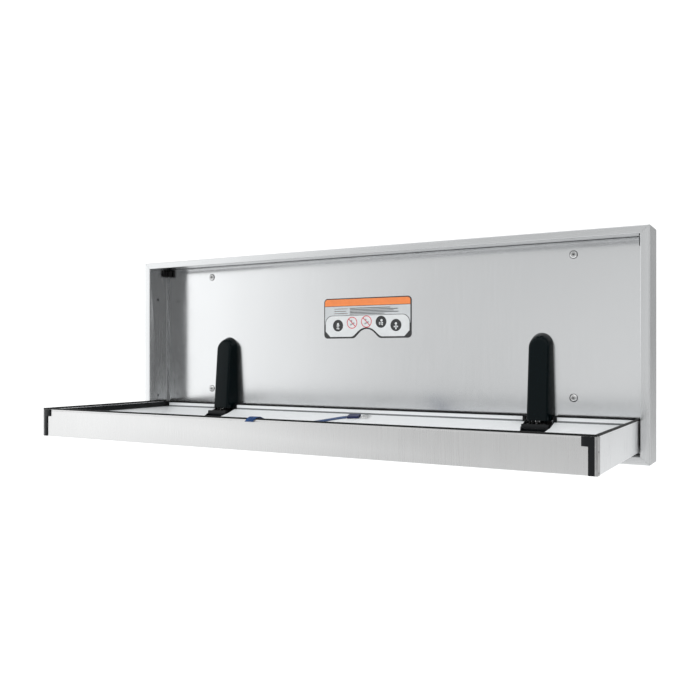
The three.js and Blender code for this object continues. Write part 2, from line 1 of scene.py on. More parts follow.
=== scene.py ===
"""Looks of a wall-mounted, fold-down, adult-length changing table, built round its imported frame.

Metres, in the part's own frame: X to the right, Y into the wall, Z up. Places come from the frame.
Sheet-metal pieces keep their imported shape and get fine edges. The liner, hinge covers, guards,
screws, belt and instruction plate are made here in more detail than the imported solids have.
"""
import math

import bmesh
import bpy
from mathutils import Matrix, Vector


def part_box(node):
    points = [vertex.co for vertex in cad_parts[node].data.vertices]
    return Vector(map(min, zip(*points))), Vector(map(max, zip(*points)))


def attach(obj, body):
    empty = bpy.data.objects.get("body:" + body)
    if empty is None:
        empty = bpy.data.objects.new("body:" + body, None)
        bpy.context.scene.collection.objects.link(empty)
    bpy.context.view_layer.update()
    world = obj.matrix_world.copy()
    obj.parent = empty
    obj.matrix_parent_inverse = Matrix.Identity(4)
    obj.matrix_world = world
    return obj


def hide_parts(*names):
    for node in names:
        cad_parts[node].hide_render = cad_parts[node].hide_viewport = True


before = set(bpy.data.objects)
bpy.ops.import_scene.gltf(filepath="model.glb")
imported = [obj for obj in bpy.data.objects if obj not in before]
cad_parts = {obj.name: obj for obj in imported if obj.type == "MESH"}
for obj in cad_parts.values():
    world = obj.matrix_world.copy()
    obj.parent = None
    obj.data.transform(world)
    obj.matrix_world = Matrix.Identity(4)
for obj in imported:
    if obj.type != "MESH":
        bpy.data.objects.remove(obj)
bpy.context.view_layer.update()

MM = 0.001
SIDES = (("left", -1), ("right", 1))

# The cabinet's own corner: the flange plane in Y and the lowest edge in Z.
FLANGE_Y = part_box("frame_left")[0].y
BASE_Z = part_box("frame_bottom")[0].z
PANEL_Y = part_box("back_panel")[0].y
BED_HEIGHT = 0.865  # a usual height above the floor for the bed of such a table
FLOOR_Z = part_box("bed_side_right")[1].z - BED_HEIGHT
SHARP = math.radians(32)  # edges sharper than this are shaded as edges


def at(x, y, z):
    """A place given in millimetres from the middle, the flange plane and the lowest edge."""
    return Vector((x * MM, FLANGE_Y + y * MM, BASE_Z + z * MM))


# ---------------------------------------------------------------- materials

class Nodes:
    """A material's node tree, with the few node kinds that the finishes here are made of."""

    def __init__(self, name, **sockets):
        self.material = bpy.data.materials.new(name)
        self.material.use_nodes = True
        self.tree = self.material.node_tree
        self.shader = self.tree.nodes["Principled BSDF"]
        for socket, value in sockets.items():
            self.shader.inputs[socket.replace("_", " ")].default_value = value

    def add(self, kind, inputs=None, **settings):
        node = self.tree.nodes.new(kind)
        for key, value in settings.items():
            setattr(node, key, value)
        for key, value in (inputs or {}).items():
            if isinstance(value, bpy.types.NodeSocket):
                self.tree.links.new(value, node.inputs[key])
            else:
                node.inputs[key].default_value = value
        return node

    def place(self, scale):
        """Texture coordinates in the part's frame, scaled along each axis."""
        source = self.add("ShaderNodeTexCoord").outputs["Object"]
        return self.add("ShaderNodeMapping", {"Vector": source, "Scale": scale}).outputs["Vector"]

    def noise(self, scale, detail=3.0, roughness=0.55):
        """A noise value, where scale is the waves in a metre along each axis."""
        inputs = {"Vector": self.place(scale), "Scale": 1.0,
                  "Detail": detail, "Roughness": roughness}
        return self.add("ShaderNodeTexNoise", inputs).outputs["Fac"]

    def spread(self, value, low, high, start=0.3, end=0.7):
        """Maps a noise value onto a range."""
        inputs = {"Value": value, "From Min": start, "From Max": end,
                  "To Min": low, "To Max": high}
        return self.add("ShaderNodeMapRange", inputs, clamp=True).outputs["Result"]

    def blend(self, factor, first, second):
        """Mixes two colours."""
        node = self.add("ShaderNodeMix", data_type="RGBA")
        for index, value in ((0, factor), (6, first), (7, second)):
            if isinstance(value, bpy.types.NodeSocket):
                self.tree.links.new(value, node.inputs[index])
            else:
                node.inputs[index].default_value = value
        return node.outputs[2]

    def set(self, socket, value):
        self.tree.links.new(value, self.shader.inputs[socket])

    def bump(self, *layers):
        """Stacks bumps, each a (height, distance in metres, strength)."""
        normal = None
        for height, distance, strength in layers:
            inputs = {"Height": height, "Distance": distance, "Strength": strength}
            if normal is not None:
                inputs["Normal"] = normal
            normal = self.add("ShaderNodeBump", inputs).outputs["Normal"]
        self.set("Normal", normal)


def grey(value, warm=0.0):
    """A grey, warmer or cooler by a share."""
    return (value * (1 + warm), value, value * (1 - warm), 1)


def brushed_steel(name, value, roughness, along, wave=0.0006, warm=-0.008, streaks=1.0):
    """Sheet steel brushed along one axis (0 X, 1 Y, 2 Z), with faint streaks and a slight wave."""
    n = Nodes(name, Metallic=1.0)
    fine = [900.0, 900.0, 900.0]
    fine[along] = 9.0
    broad = [55.0, 55.0, 55.0]
    broad[along] = 1.4
    grain = n.noise(fine, 4.0, 0.65)
    streak = n.noise(broad, 3.0, 0.6)
    handled = n.noise((5.0, 5.0, 5.0), 4.0, 0.6)
    colour = n.blend(n.spread(grain, 0, 1), grey(value * 0.97, warm), grey(value * 1.015, warm))
    colour = n.blend(n.spread(streak, 0, 0.5 * streaks), colour, grey(value * 0.975, warm))
    n.set("Base Color", colour)
    rough = n.add("ShaderNodeMath", {0: n.spread(grain, roughness * 0.8, roughness * 1.2),
                                     1: n.spread(handled, -0.02, 0.03)}, operation="ADD")
    n.set("Roughness", rough.outputs[0])
    swell = n.noise((2.2, 2.2, 2.2), 1.0, 0.4)
    n.bump((swell, wave, 1.0), (streak, 0.00001, 0.3 * streaks),
           (grain, 0.000004, 0.3 * streaks))
    return n.material


def moulded(name, colour, roughness, peel=0.00004, scale=700.0, specular=0.4):
    """Moulded plastic: a fine leathery skin, flow marks and a little handling shine."""
    n = Nodes(name, Specular_IOR_Level=specular)
    flow = n.noise((14.0, 14.0, 30.0), 3.0, 0.5)
    skin = n.noise((scale, scale, scale), 2.0, 0.5)
    darker = tuple(c * 0.86 for c in colour[:3]) + (1,)
    n.set("Base Color", n.blend(n.spread(flow, 0, 1), colour, darker))
    n.set("Roughness", n.spread(flow, roughness * 0.85, roughness * 1.2))
    n.bump((flow, 0.0001, 0.35), (skin, peel, 0.5))
    return n.material


def extruded_rubber(name, value, along):
    """Extruded rubber trim: matt, with faint die lines along its length."""
    n = Nodes(name, Specular_IOR_Level=0.18)
    lines = [900.0, 900.0, 900.0]
    lines[along] = 4.0
    die = n.noise(lines, 3.0, 0.6)
    dust = n.noise((60.0, 60.0, 60.0), 4.0, 0.6)
    n.set("Base Color", n.blend(n.spread(dust, 0, 1, 0.45, 0.8), grey(value), grey(value * 1.9)))
    n.set("Roughness", n.spread(dust, 0.5, 0.68))
    n.bump((die, 0.00003, 0.6))
    return n.material


def powder_coat(name, value):
    """Powder-coated steel, with a fine grain."""
    n = Nodes(name, Metallic=0.0, Specular_IOR_Level=0.5)
    grain = n.noise((1100.0, 1100.0, 1100.0), 2.0, 0.5)
    cloud = n.noise((30.0, 30.0, 30.0), 3.0, 0.5)
    n.set("Base Color", n.blend(n.spread(cloud, 0, 1), grey(value), grey(value * 1.4)))
    n.set("Roughness", n.spread(grain, 0.38, 0.55))
    n.bump((grain, 0.00006, 0.7))
    return n.material


def plated(name, value, roughness):
    """Bright plating with hairline turning marks."""
    n = Nodes(name, Metallic=1.0)
    turning = n.noise((300.0, 2500.0, 300.0), 3.0, 0.6)
    cloud = n.noise((90.0, 90.0, 90.0), 3.0, 0.5)
    n.set("Base Color", n.blend(n.spread(cloud, 0, 1), grey(value), grey(value * 0.86, 0.01)))
    n.set("Roughness", n.spread(turning, roughness * 0.7, roughness * 1.4))
    n.bump((turning, 0.00001, 0.4))
    return n.material


def liner_plastic():
    """Vacuum-formed light grey sheet: satin, with a faint speckle and scuffs."""
    n = Nodes("liner_sheet", Specular_IOR_Level=0.45)
    speckle = n.noise((1300.0, 1300.0, 1300.0), 2.0, 0.6)
    scuff = n.noise((4.0, 26.0, 26.0), 5.0, 0.65)
    base = n.blend(n.spread(speckle, 0, 1), (0.80, 0.815, 0.825, 1), (0.755, 0.77, 0.78, 1))
    worn = n.blend(n.spread(scuff, 0, 0.3, 0.55, 0.8), base, (0.70, 0.71, 0.72, 1))
    n.set("Base Color", worn)
    n.set("Roughness", n.spread(scuff, 0.30, 0.46))
    n.bump((scuff, 0.00012, 0.25), (speckle, 0.00003, 0.4))
    return n.material


def woven(name, deep, bright):
    """Nylon webbing: a herringbone of warp cords crossed by weft, in the strap's own length."""
    n = Nodes(name, Sheen_Weight=0.35, Sheen_Roughness=0.4, Specular_IOR_Level=0.3)
    uv = n.add("ShaderNodeTexCoord").outputs["UV"]
    cords = n.add("ShaderNodeMapping", {"Vector": uv, "Scale": (620.0, 260.0, 1.0),
                                        "Rotation": (0, 0, math.radians(24))})
    warp = n.add("ShaderNodeTexWave", {"Vector": cords.outputs["Vector"], "Scale": 1.0,
                                       "Distortion": 0.6, "Detail": 2.0},
                 wave_type="BANDS", bands_direction="X").outputs["Fac"]
    crossing = n.add("ShaderNodeMapping", {"Vector": uv, "Scale": (90.0, 900.0, 1.0)})
    weft = n.add("ShaderNodeTexWave", {"Vector": crossing.outputs["Vector"], "Scale": 1.0,
                                       "Distortion": 0.3}, wave_type="BANDS",
                 bands_direction="Y").outputs["Fac"]
    thread = n.add("ShaderNodeMath", {0: warp, 1: weft}, operation="MULTIPLY").outputs[0]
    fade = n.noise((40.0, 40.0, 40.0), 3.0, 0.6)
    colour = n.blend(n.spread(thread, 0, 1, 0.05, 0.8), deep, bright)
    lighter = tuple(min(1.0, c * 1.25) for c in bright[:3]) + (1,)
    n.set("Base Color", n.blend(n.spread(fade, 0, 0.3), colour, lighter))
    n.set("Roughness", n.spread(thread, 0.7, 0.9, 0, 1))
    n.bump((thread, 0.00025, 0.8))
    return n.material


def printed(name, colour, roughness=0.42):
    """Printed film on the plate: flat ink with a faint laminate skin."""
    n = Nodes(name, Coat_Weight=0.3, Coat_Roughness=0.25)
    skin = n.noise((500.0, 500.0, 500.0), 2.0, 0.5)
    cloud = n.noise((35.0, 35.0, 35.0), 3.0, 0.5)
    lighter = tuple(min(1.0, c * 1.08 + 0.004) for c in colour[:3]) + (1,)
    n.set("Base Color", n.blend(n.spread(cloud, 0, 1), colour, lighter))
    n.set("Roughness", n.spread(skin, roughness * 0.9, roughness * 1.15))
    n.bump((skin, 0.00002, 0.4))
    return n.material


def pale_floor():
    """The floor under the table, which isn't part of it."""
    n = Nodes("pale_floor", Roughness=0.9, Specular_IOR_Level=0.1, Emission_Strength=0.16)
    n.shader.inputs["Emission Color"].default_value = (1, 1, 1, 1)
    cloud = n.noise((1.2, 1.2, 1.2), 3.0, 0.5)
    n.set("Base Color", n.blend(n.spread(cloud, 0, 1), grey(0.94), grey(0.92)))
    return n.material


STEEL_UPRIGHT = brushed_steel("steel_brushed_upright", 0.66, 0.24, 2)
STEEL_LEVEL = brushed_steel("steel_brushed_level", 0.66, 0.24, 0)
STEEL_PANEL = brushed_steel("steel_back_panel", 0.73, 0.18, 2, wave=0.0012)
STEEL_BED = brushed_steel("steel_bed_front", 0.63, 0.30, 2, warm=0.004, streaks=0.12)
# The bed's sides are the same stainless as its front, given a far brighter base so they read near
# white: painted light.
STEEL_BED_SIDE_LIT = brushed_steel("steel_bed_side_painted_light", 0.92, 0.3, 2, streaks=0.3)
STEEL_PLATED = plated("steel_zinc_plated", 0.5, 0.35)
CHROME = plated("bright_plating", 0.88, 0.24)
EDGE_METAL = plated("corner_edge_metal", 0.42, 0.42)
# Brighter and rougher than the panel, for the upright inner bends: a painted highlight line.
STEEL_BEND_HIGHLIGHT = brushed_steel("steel_bend_painted_highlight", 0.78, 0.55, 2)
# A mid-dark grey for the strip at the foot of the liner's rim wall: painted shade along the
# crease.
CREASE_SHADE_GREY = moulded("grey_painted_crease_shade", (0.16, 0.17, 0.175, 1), 0.6)
BLACK_GLOSS = moulded("black_gloss_plastic", (0.001, 0.004, 0.005, 1), 0.16, specular=0.12)
BLACK_PLASTIC = moulded("black_satin_plastic", (0.004, 0.005, 0.006, 1), 0.3, specular=0.2)
BLACK_TRIM_X = extruded_rubber("black_trim_lengthwise", 0.005, 0)
BLACK_TRIM_Y = extruded_rubber("black_trim_crosswise", 0.005, 1)
BLACK_RUBBER = extruded_rubber("black_rubber_block", 0.008, 2)
BLACK_STEEL = powder_coat("black_powder_coat", 0.014)
LINER = liner_plastic()
WEBBING = woven("blue_webbing", (0.002, 0.022, 0.085, 1), (0.004, 0.06, 0.22, 1))
NAVY = moulded("navy_buckle_plastic", (0.006, 0.012, 0.075, 1), 0.3)
INK_BLACK = printed("print_black", (0.012, 0.013, 0.014, 1))
INK_ORANGE = printed("print_orange", (0.80, 0.22, 0.05, 1))
INK_PALE = printed("print_pale_grey", (0.52, 0.54, 0.55, 1))
INK_GREY = printed("print_mid_grey", (0.30, 0.31, 0.32, 1))
INK_RED = printed("print_red", (0.58, 0.05, 0.07, 1))
INK_WHITE = printed("print_white", (0.64, 0.655, 0.66, 1))


# ------------------------------------------------------------ mesh helpers

def finish_mesh(mesh, material, sharp=SHARP):
    """Consistent outward faces, smooth shading between sharp edges, one material."""
    bm = bmesh.new()
    bm.from_mesh(mesh)
    bmesh.ops.recalc_face_normals(bm, faces=bm.faces)
    for face in bm.faces:
        face.smooth = True
        face.material_index = 0
    bm.to_mesh(mesh)
    bm.free()
    mesh.set_sharp_from_angle(angle=sharp)
    mesh.materials.clear()
    mesh.materials.append(material)


def piece(name, mesh, material, body, slot, *nodes, sharp=SHARP):
    """Puts a mesh in the scene as a piece that rides on a body and stands for CAD nodes."""
    finish_mesh(mesh, material, sharp)
    obj = bpy.data.objects.new(name, mesh)
    bpy.context.scene.collection.objects.link(obj)
    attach(obj, body)
    if nodes:
        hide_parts(*nodes)
    return obj


def mesh_of(name, points, faces):
    """A mesh from its points and faces."""
    mesh = bpy.data.meshes.new(name)
    mesh.from_pydata([tuple(p) for p in points], [], faces)
    mesh.validate()
    return mesh


def bevelled(obj, width, segments=3):
    """Rounds every edge sharper than 30 degrees."""
    modifier = obj.modifiers.new("edges", "BEVEL")
    modifier.width = width
    modifier.segments = segments
    modifier.limit_method = "ANGLE"
    modifier.angle_limit = math.radians(30)
    modifier.use_clamp_overlap = True
    modifier.harden_normals = True
    return obj


def loft(rings, cap=True):
    """Points and faces of a surface through rings with equal numbers of points."""
    count = len(rings[0])
    points = [p for ring in rings for p in ring]
    faces = []
    for r in range(len(rings) - 1):
        for i in range(count):
            j = (i + 1) % count
            faces.append((r * count + i, r * count + j, (r + 1) * count + j, (r + 1) * count + i))
    if cap:
        faces.append(tuple(range(count)))
        faces.append(tuple(range((len(rings) - 1) * count, len(rings) * count)))
    return points, faces


def extruded(outline, start, end, axis):
    """A prism. The outline is (a, b): (Y, Z) along X, (X, Z) along Y, (X, Y) along Z."""
    place = {
        "X": lambda a, b, t: Vector((t, a, b)),
        "Y": lambda a, b, t: Vector((a, t, b)),
        "Z": lambda a, b, t: Vector((a, b, t)),
    }[axis]
    return loft([[place(a, b, t) for a, b in outline] for t in (start, end)])


def joined(*parts):
    """Several (points, faces) as one."""
    points, faces = [], []
    for part_points, part_faces in parts:
        offset = len(points)
        points += list(part_points)
        faces += [tuple(i + offset for i in face) for face in part_faces]
    return points, faces


def arc(x, y, radius, start, end, steps=8):
    """Points on an arc, in degrees."""
    angles = [math.radians(start + (end - start) * i / steps) for i in range(steps + 1)]
    return [(x + radius * math.cos(a), y + radius * math.sin(a)) for a in angles]


def rounded_rectangle(x0, x1, y0, y1, radius, steps=6):
    """A rectangle's outline with round corners."""
    return (arc(x1 - radius, y1 - radius, radius, 0, 90, steps)
            + arc(x0 + radius, y1 - radius, radius, 90, 180, steps)
            + arc(x0 + radius, y0 + radius, radius, 180, 270, steps)
            + arc(x1 - radius, y0 + radius, radius, 270, 360, steps))


def turned(profile, centre, direction, segments=40):
    """A profile of (radius, height) turned round a line through centre."""
    turn = Vector((0, 0, 1)).rotation_difference(Vector(direction)).to_matrix()
    rings = []
    for radius, height in profile:
        rings.append([
            Vector(centre) + turn @ Vector((
                max(radius, 1e-5) * math.cos(2 * math.pi * i / segments),
                max(radius, 1e-5) * math.sin(2 * math.pi * i / segments), height))
            for i in range(segments)])
    return loft(rings)


def refined(node, material, slot, width, segments=2, body="bed"):
    """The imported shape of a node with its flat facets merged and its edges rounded."""
    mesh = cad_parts[node].data.copy()
    bm = bmesh.new()
    bm.from_mesh(mesh)
    bmesh.ops.remove_doubles(bm, verts=bm.verts, dist=1e-5)
    bmesh.ops.dissolve_limit(bm, angle_limit=math.radians(0.6), verts=bm.verts, edges=bm.edges)
    bm.to_mesh(mesh)
    bm.free()
    obj = piece(node + "_fine", mesh, material, body, slot, node)
    return bevelled(obj, width, segments)


# ------------------------------------------------------------------ cabinet

def cabinet_sheets():
    """The frame's members, the back panel and the bumpers, with fine edges."""
    for node, material in (("frame_left", STEEL_UPRIGHT), ("frame_right", STEEL_UPRIGHT),
                           ("frame_top", STEEL_LEVEL), ("frame_bottom", STEEL_LEVEL)):
        refined(node, material, "stainless", 0.3 * MM, body="cabinet")
    refined("back_panel", STEEL_PANEL, "back_panel_steel", 0.25 * MM, body="cabinet")
    for side, _ in SIDES:
        refined("bumper_" + side, BLACK_RUBBER, "black_rubber", 1.6 * MM, 4, "cabinet")


JOGGLE = 6 * MM  # the inner walls stand this far back from the flange's inner edge


def frame_inside():
    """The opening between the inner walls, as its lowest and highest (x, z)."""
    left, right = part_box("frame_left")[1].x - JOGGLE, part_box("frame_right")[0].x + JOGGLE
    bottom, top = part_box("frame_bottom")[1].z - JOGGLE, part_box("frame_top")[0].z + JOGGLE
    return (left, bottom), (right, top)


def corner_bends():
    """Where the back panel turns forward into the inner walls: a small radius all round. The
    upright bends are in a brighter steel, a painted highlight line down each inner corner.
    """
    radius = 4.0
    low, high = frame_inside()
    curve = [(radius - radius * math.sin(math.radians(a)), radius * math.cos(math.radians(a)))
             for a in range(0, 91, 10)]
    section = [(a * MM, b * MM) for a, b in curve] + [(0.0, 0.0)]
    for name, start, end, out in (
            ("left", (low[0], low[1]), (low[0], high[1]), Vector((1, 0, 0))),
            ("right", (high[0], low[1]), (high[0], high[1]), Vector((-1, 0, 0))),
            ("top", (low[0], high[1]), (high[0], high[1]), Vector((0, 0, -1))),
            ("bottom", (low[0], low[1]), (high[0], low[1]), Vector((0, 0, 1)))):
        rings = []
        for x, z in (start, end):
            corner = Vector((x, PANEL_Y, z))
            rings.append([corner + out * a - Vector((0, 1, 0)) * b for a, b in section])
        mesh = mesh_of("bend", *loft(rings))
        # The upright bends take the brighter steel: a painted highlight down each inner corner.
        material = STEEL_BEND_HIGHLIGHT if name in ("left", "right") else STEEL_LEVEL
        piece("corner_bend_" + name, mesh, material, "cabinet", "stainless")


def turned_ring(section, lift, centre):
    """A closed section of (radius, height) in millimetres, turned into a ring on the panel."""
    ring = [(r * MM, (h + lift) * MM) for r, h in section]
    points, faces = turned(ring + ring[:1], centre, (0, -1, 0))
    return points, faces[:-2]


def socket_head(centre):
    """A round-topped screw head with a hexagonal socket in it."""
    profile = [(0, 0.3), (5.6, 0.3), (5.6, 1.9), (5.3, 2.9), (4.4, 3.6), (3.6, 4.0), (3.2, 4.0)]
    lift, count = 0.4, 40
    key, mouth_height, floor_height = 2.7, 4.4, 1.8  # half the key's width, and two heights
    wedge = math.radians(60)
    points, faces = turned([(r * MM, (h + lift) * MM) for r, h in profile], centre,
                           (0, -1, 0), count)
    faces = faces[:-2] + [tuple(range(count))]
    last = len(points) - count
    for height in (mouth_height, floor_height):
        for k in range(count):
            a = 2 * math.pi * k / count
            reach = key * math.cos(wedge / 2) / math.cos((a % wedge) - wedge / 2)
            points.append(centre + Vector((reach * MM * math.cos(a), -height * MM,
                                           -reach * MM * math.sin(a))))
    for start in (last, last + count):
        faces += [(start + k, start + (k + 1) % count, start + count + (k + 1) % count,
                   start + count + k) for k in range(count)]
    faces.append(tuple(last + 2 * count + k for k in range(count)))
    return points, faces


def wall_screws():
    """A black ring under the cup washer, standing out past its rim as a painted shadow, then the
    cup washer and a socket-head screw at each wall screw.
    """
    painted_shade = [(6.0, 0.05), (12.4, 0.05), (12.4, 0.7), (11.9, 0.95), (6.0, 0.95)]
    washer = [(5.0, 0.3), (11.0, 0.3), (11.0, 1.2), (10.4, 1.7), (9.0, 2.9), (8.4, 3.2),
              (7.2, 3.2), (6.6, 2.8), (6.1, 1.9), (5.0, 1.9)]
    for i in range(1, 5):
        low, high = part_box(f"wall_screw_{i}")
        centre = Vector(((low.x + high.x) / 2, PANEL_Y, (low.z + high.z) / 2))
        # A thin black ring just wider than the washer: painted shadow round the washer's rim.
        mesh = mesh_of("screw_shadow_ring", *turned_ring(painted_shade, 0, centre))
        piece(f"screw_shadow_ring_{i}", mesh, BLACK_RUBBER, "cabinet", "black_rubber")
        mesh = mesh_of("cup_washer", *turned_ring(washer, 0.6, centre))
        piece(f"cup_washer_{i}", mesh, CHROME, "cabinet", "chrome", f"wall_screw_{i}")
        mesh = mesh_of("wall_screw", *socket_head(centre))
        piece(f"wall_screw_head_{i}", mesh, STEEL_PLATED, "cabinet", "chrome")


def cover_ring(centre_x, half, foot_half, bottom, top, depth_at, steps=36):
    """An arch outline in X and Z, in millimetres, at a depth that changes with height."""
    middle = top - half
    rises = [t / 6 for t in range(6)]
    outline = [(foot_half + (half - foot_half) * t, bottom + (middle - bottom) * t) for t in rises]
    outline += arc(0, middle, half, 0, 180, steps)
    outline += [(-x, z) for x, z in reversed(outline[:len(rises)])]
    return [at(centre_x + x, depth_at(z), z) for x, z in outline]


FACE_HALF = 28.5  # half the width of a cover's front face
COVER_SPREAD = 6  # a cover's sides are this much further out at their foot
COVER_SHARP = math.radians(40)


def cover_face(z):
    """The depth of a cover's leaning front face, in millimetres."""
    return 55 + (z - 130) * 16 / 191


def cover_shells(half, foot_half, back):
    """A cover's rings, as (half-width, half-width at the foot, drop of the arch, depth)."""
    outside = [(half, foot_half, 0, lambda z: back), (half, foot_half, 0.2, lambda z: back - 1.5)]
    for across, foot, drop, behind in (
            (3.4, 4.6, 9.5, 10), (3.0, 3.9, 12.4, 6.6), (2.2, 2.8, 14.8, 3.9),
            (1.0, 1.3, 17.0, 1.9), (-0.6, -0.5, 19.0, 0.7), (-2.5, -2.5, 21.2, 0.1),
            (-4.5, -4.5, 23.4, 0)):
        outside.append((FACE_HALF + across, FACE_HALF + foot, drop,
                        lambda z, behind=behind: cover_face(z) + behind))
    inside = [(FACE_HALF - 6.0, FACE_HALF - 6.0, 25.0, lambda z: cover_face(z) + 2),
              (FACE_HALF + 1.2, FACE_HALF + 1.2, 17, lambda z: cover_face(z) + 7),
              (half - 2, foot_half - 2, 2, lambda z: back)]
    return outside, inside


def hinge_covers():
    """Moulded covers over the gas springs: a leaning face, soft edges and spreading sides."""
    for side, _ in SIDES:
        node = "hinge_cover_" + side
        low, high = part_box(node)
        centre = (low.x + high.x) / 2 / MM
        foot_half = (high.x - low.x) / 2 / MM
        half = foot_half - COVER_SPREAD
        bottom = (low.z - BASE_Z) / MM
        top = (high.z - BASE_Z) / MM
        outside, inside = cover_shells(half, foot_half, (high.y - FLANGE_Y) / MM)
        rings = [cover_ring(centre, across, foot, bottom, top - drop, depth)
                 for across, foot, drop, depth in outside + inside]
        points, faces = loft(rings, cap=False)
        count = len(rings[0])
        # The outside and the inside each end in a flat face, with nothing between the two.
        face_ring = (len(outside) - 1) * count
        faces = faces[:face_ring] + faces[face_ring + count:]
        faces.append(tuple(face_ring + i for i in range(count)))
        faces.append(tuple(face_ring + count + i for i in range(count)))
        last = (len(rings) - 1) * count
        faces += [(i, (i + 1) % count, last + (i + 1) % count, last + i) for i in range(count)]
        piece(node + "_shell", mesh_of(node, points, faces), BLACK_GLOSS, "cabinet",
              "black_plastic", node, sharp=COVER_SHARP)


def hinges_and_springs():
    """The hinges' and the gas springs' parts, most of them behind the covers."""
    for side, _ in SIDES:
        refined("hinge_bracket_" + side, BLACK_STEEL, "black_steel", 0.5 * MM, body="cabinet")
        refined("hinge_pin_" + side, BLACK_STEEL, "steel", 0.3 * MM, body="cabinet")
        refined("spring_pin_" + side, STEEL_PLATED, "steel", 0.3 * MM, body="cabinet")
        refined("hinge_arm_" + side, BLACK_STEEL, "black_steel", 0.5 * MM)
        refined("hinge_pocket_" + side, BLACK_PLASTIC, "black_plastic", 0.5 * MM, 3)
        refined("spring_tube_" + side, BLACK_STEEL, "black_steel", 0.3 * MM, body="tube_" + side)
        refined("spring_rod_" + side, CHROME, "chrome", 0.25 * MM, body="rod_" + side)


# -------------------------------------------------------- instruction plate

def bezier(points, t):
    """A place on a cubic curve through four control points."""
    weights = ((1 - t) ** 3, 3 * t * (1 - t) ** 2, 3 * t * t * (1 - t), t ** 3)
    return tuple(sum(w * p[k] for w, p in zip(weights, points)) for k in (0, 1))


def instruction_plate():
    """A black plate with printed panels on it. The print is plain shapes, with no lettering."""
    low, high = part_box("instruction_plate")
    refined("instruction_plate", INK_BLACK, "plate", 0.3 * MM, body="cabinet")
    middle = (low.x + high.x) / 2
    front = low.y

    def mark(name, material, *outlines, lift=0.25):
        parts = [extruded([(middle + x * MM, low.z + z * MM) for x, z in outline],
                          front - lift * MM, front + 0.2 * MM, "Y") for outline in outlines]
        piece("plate_" + name, mesh_of(name, *joined(*parts)), material, "cabinet", "plate")

    half = (high.x - low.x) / 2 / MM
    tall = (high.z - low.z) / MM
    rim = 3.6
    band_low = tall - 27
    mark("header_band", INK_ORANGE,
         [(-half + rim, band_low), (half - rim, band_low)]
         + arc(half - 14, tall - rim - 10.4, 10.4, 0, 90)
         + arc(-half + 14, tall - rim - 10.4, 10.4, 90, 180))
    block_low = 50
    mark("upper_block", INK_PALE,
         [(-half + rim, block_low), (half - rim, block_low),
          (half - rim, band_low - 1.6), (-half + rim, band_low - 1.6)])
    mark("block_rules", INK_GREY, *[
        [(x0, z), (x1, z), (x1, z + 2.2), (x0, z + 2.2)]
        for z, x0, x1 in ((103, -66, 92), (98, -66, 120), (93, -66, 104), (88, -66, 122),
                          (83, -66, 70))])
    mark("block_notes", INK_RED, *[
        [(x0, z), (x1, z), (x1, z + 1.6), (x0, z + 1.6)]
        for z, x0, x1 in ((102, -128, -74), (94, -128, -80), (86, -128, -74))])

    def lower_panel(inset):
        side = half - rim - 1.5 - inset
        foot, head, corner, cut = 4.0 + inset, 80 - inset, 27, 20 - inset * 0.5
        reach, rise = 60 + inset, 35.5
        outline = [(-side + cut, foot)]
        outline += [bezier(((-reach, foot), (-reach * 0.7, foot), (-reach * 0.55, rise + inset),
                            (0, rise + inset)), t / 10) for t in range(11)]
        outline += [bezier(((0, rise + inset), (reach * 0.55, rise + inset), (reach * 0.7, foot),
                            (reach, foot)), t / 10) for t in range(1, 11)]
        outline += [(side - cut, foot), (side, foot + cut)]
        outline += arc(side - corner, head - corner, corner, 0, 90, 10)
        outline += arc(-side + corner, head - corner, corner, 90, 180, 10)
        outline += [(-side, foot + cut)]
        return outline

    mark("lower_outline", INK_BLACK, lower_panel(0), lift=0.35)
    mark("lower_panel", INK_WHITE, lower_panel(1.6), lift=0.45)

    centres = [(-113, 45), (-56.5, 54), (0, 57), (56.5, 55), (113, 43)]
    size = 20.5

    def disc(x, z, radius):
        return arc(x, z, radius, 0, 350, 35)

    def ring(x, z, outer, inner):
        """A flat ring as a row of short tiles."""
        tiles = []
        for k in range(24):
            a0, a1 = k * 15, k * 15 + 15
            tiles.append(arc(x, z, outer, a0, a1, 2) + arc(x, z, inner, a1, a0, 2))
        return tiles

    def bar(x, z, length, thick, degrees):
        c, s = math.cos(math.radians(degrees)), math.sin(math.radians(degrees))
        corners = [(-length, -thick), (length, -thick), (length, thick), (-length, thick)]
        return [(x + a * c - b * s, z + a * s + b * c) for a, b in corners]

    dark, red, pale, symbols = [], [], [], []
    for k, (x, z) in enumerate(centres):
        if k in (0, 3, 4):
            dark.append(disc(x, z, size))
            pale.append(disc(x + (2 if k == 3 else 0), z + 5, 4.4))
            pale.append(bar(x, z - 5, 8, 2.4, (60, 20, 0)[(0, 3, 4).index(k)]))
            pale.append(bar(x, z - 6, 8, 2.4, (120, -30, 90)[(0, 3, 4).index(k)]))
        else:
            red += ring(x, z, size, size - 2.6)
            red.append(bar(x, z, size - 1, 1.4, -45))
            symbols.append(disc(x - 3, z + 6, 3.8))
            symbols.append(bar(x + 1, z - 4, 9, 2.6, 25))
    mark("dark_discs", INK_BLACK, *dark, lift=0.6)
    mark("pale_symbols", INK_WHITE, *pale, lift=0.75)
    mark("grey_symbols", INK_GREY, *symbols, lift=0.6)
    mark("red_rings", INK_RED, *red, lift=0.75)


# ---------------------------------------------------------------------- bed

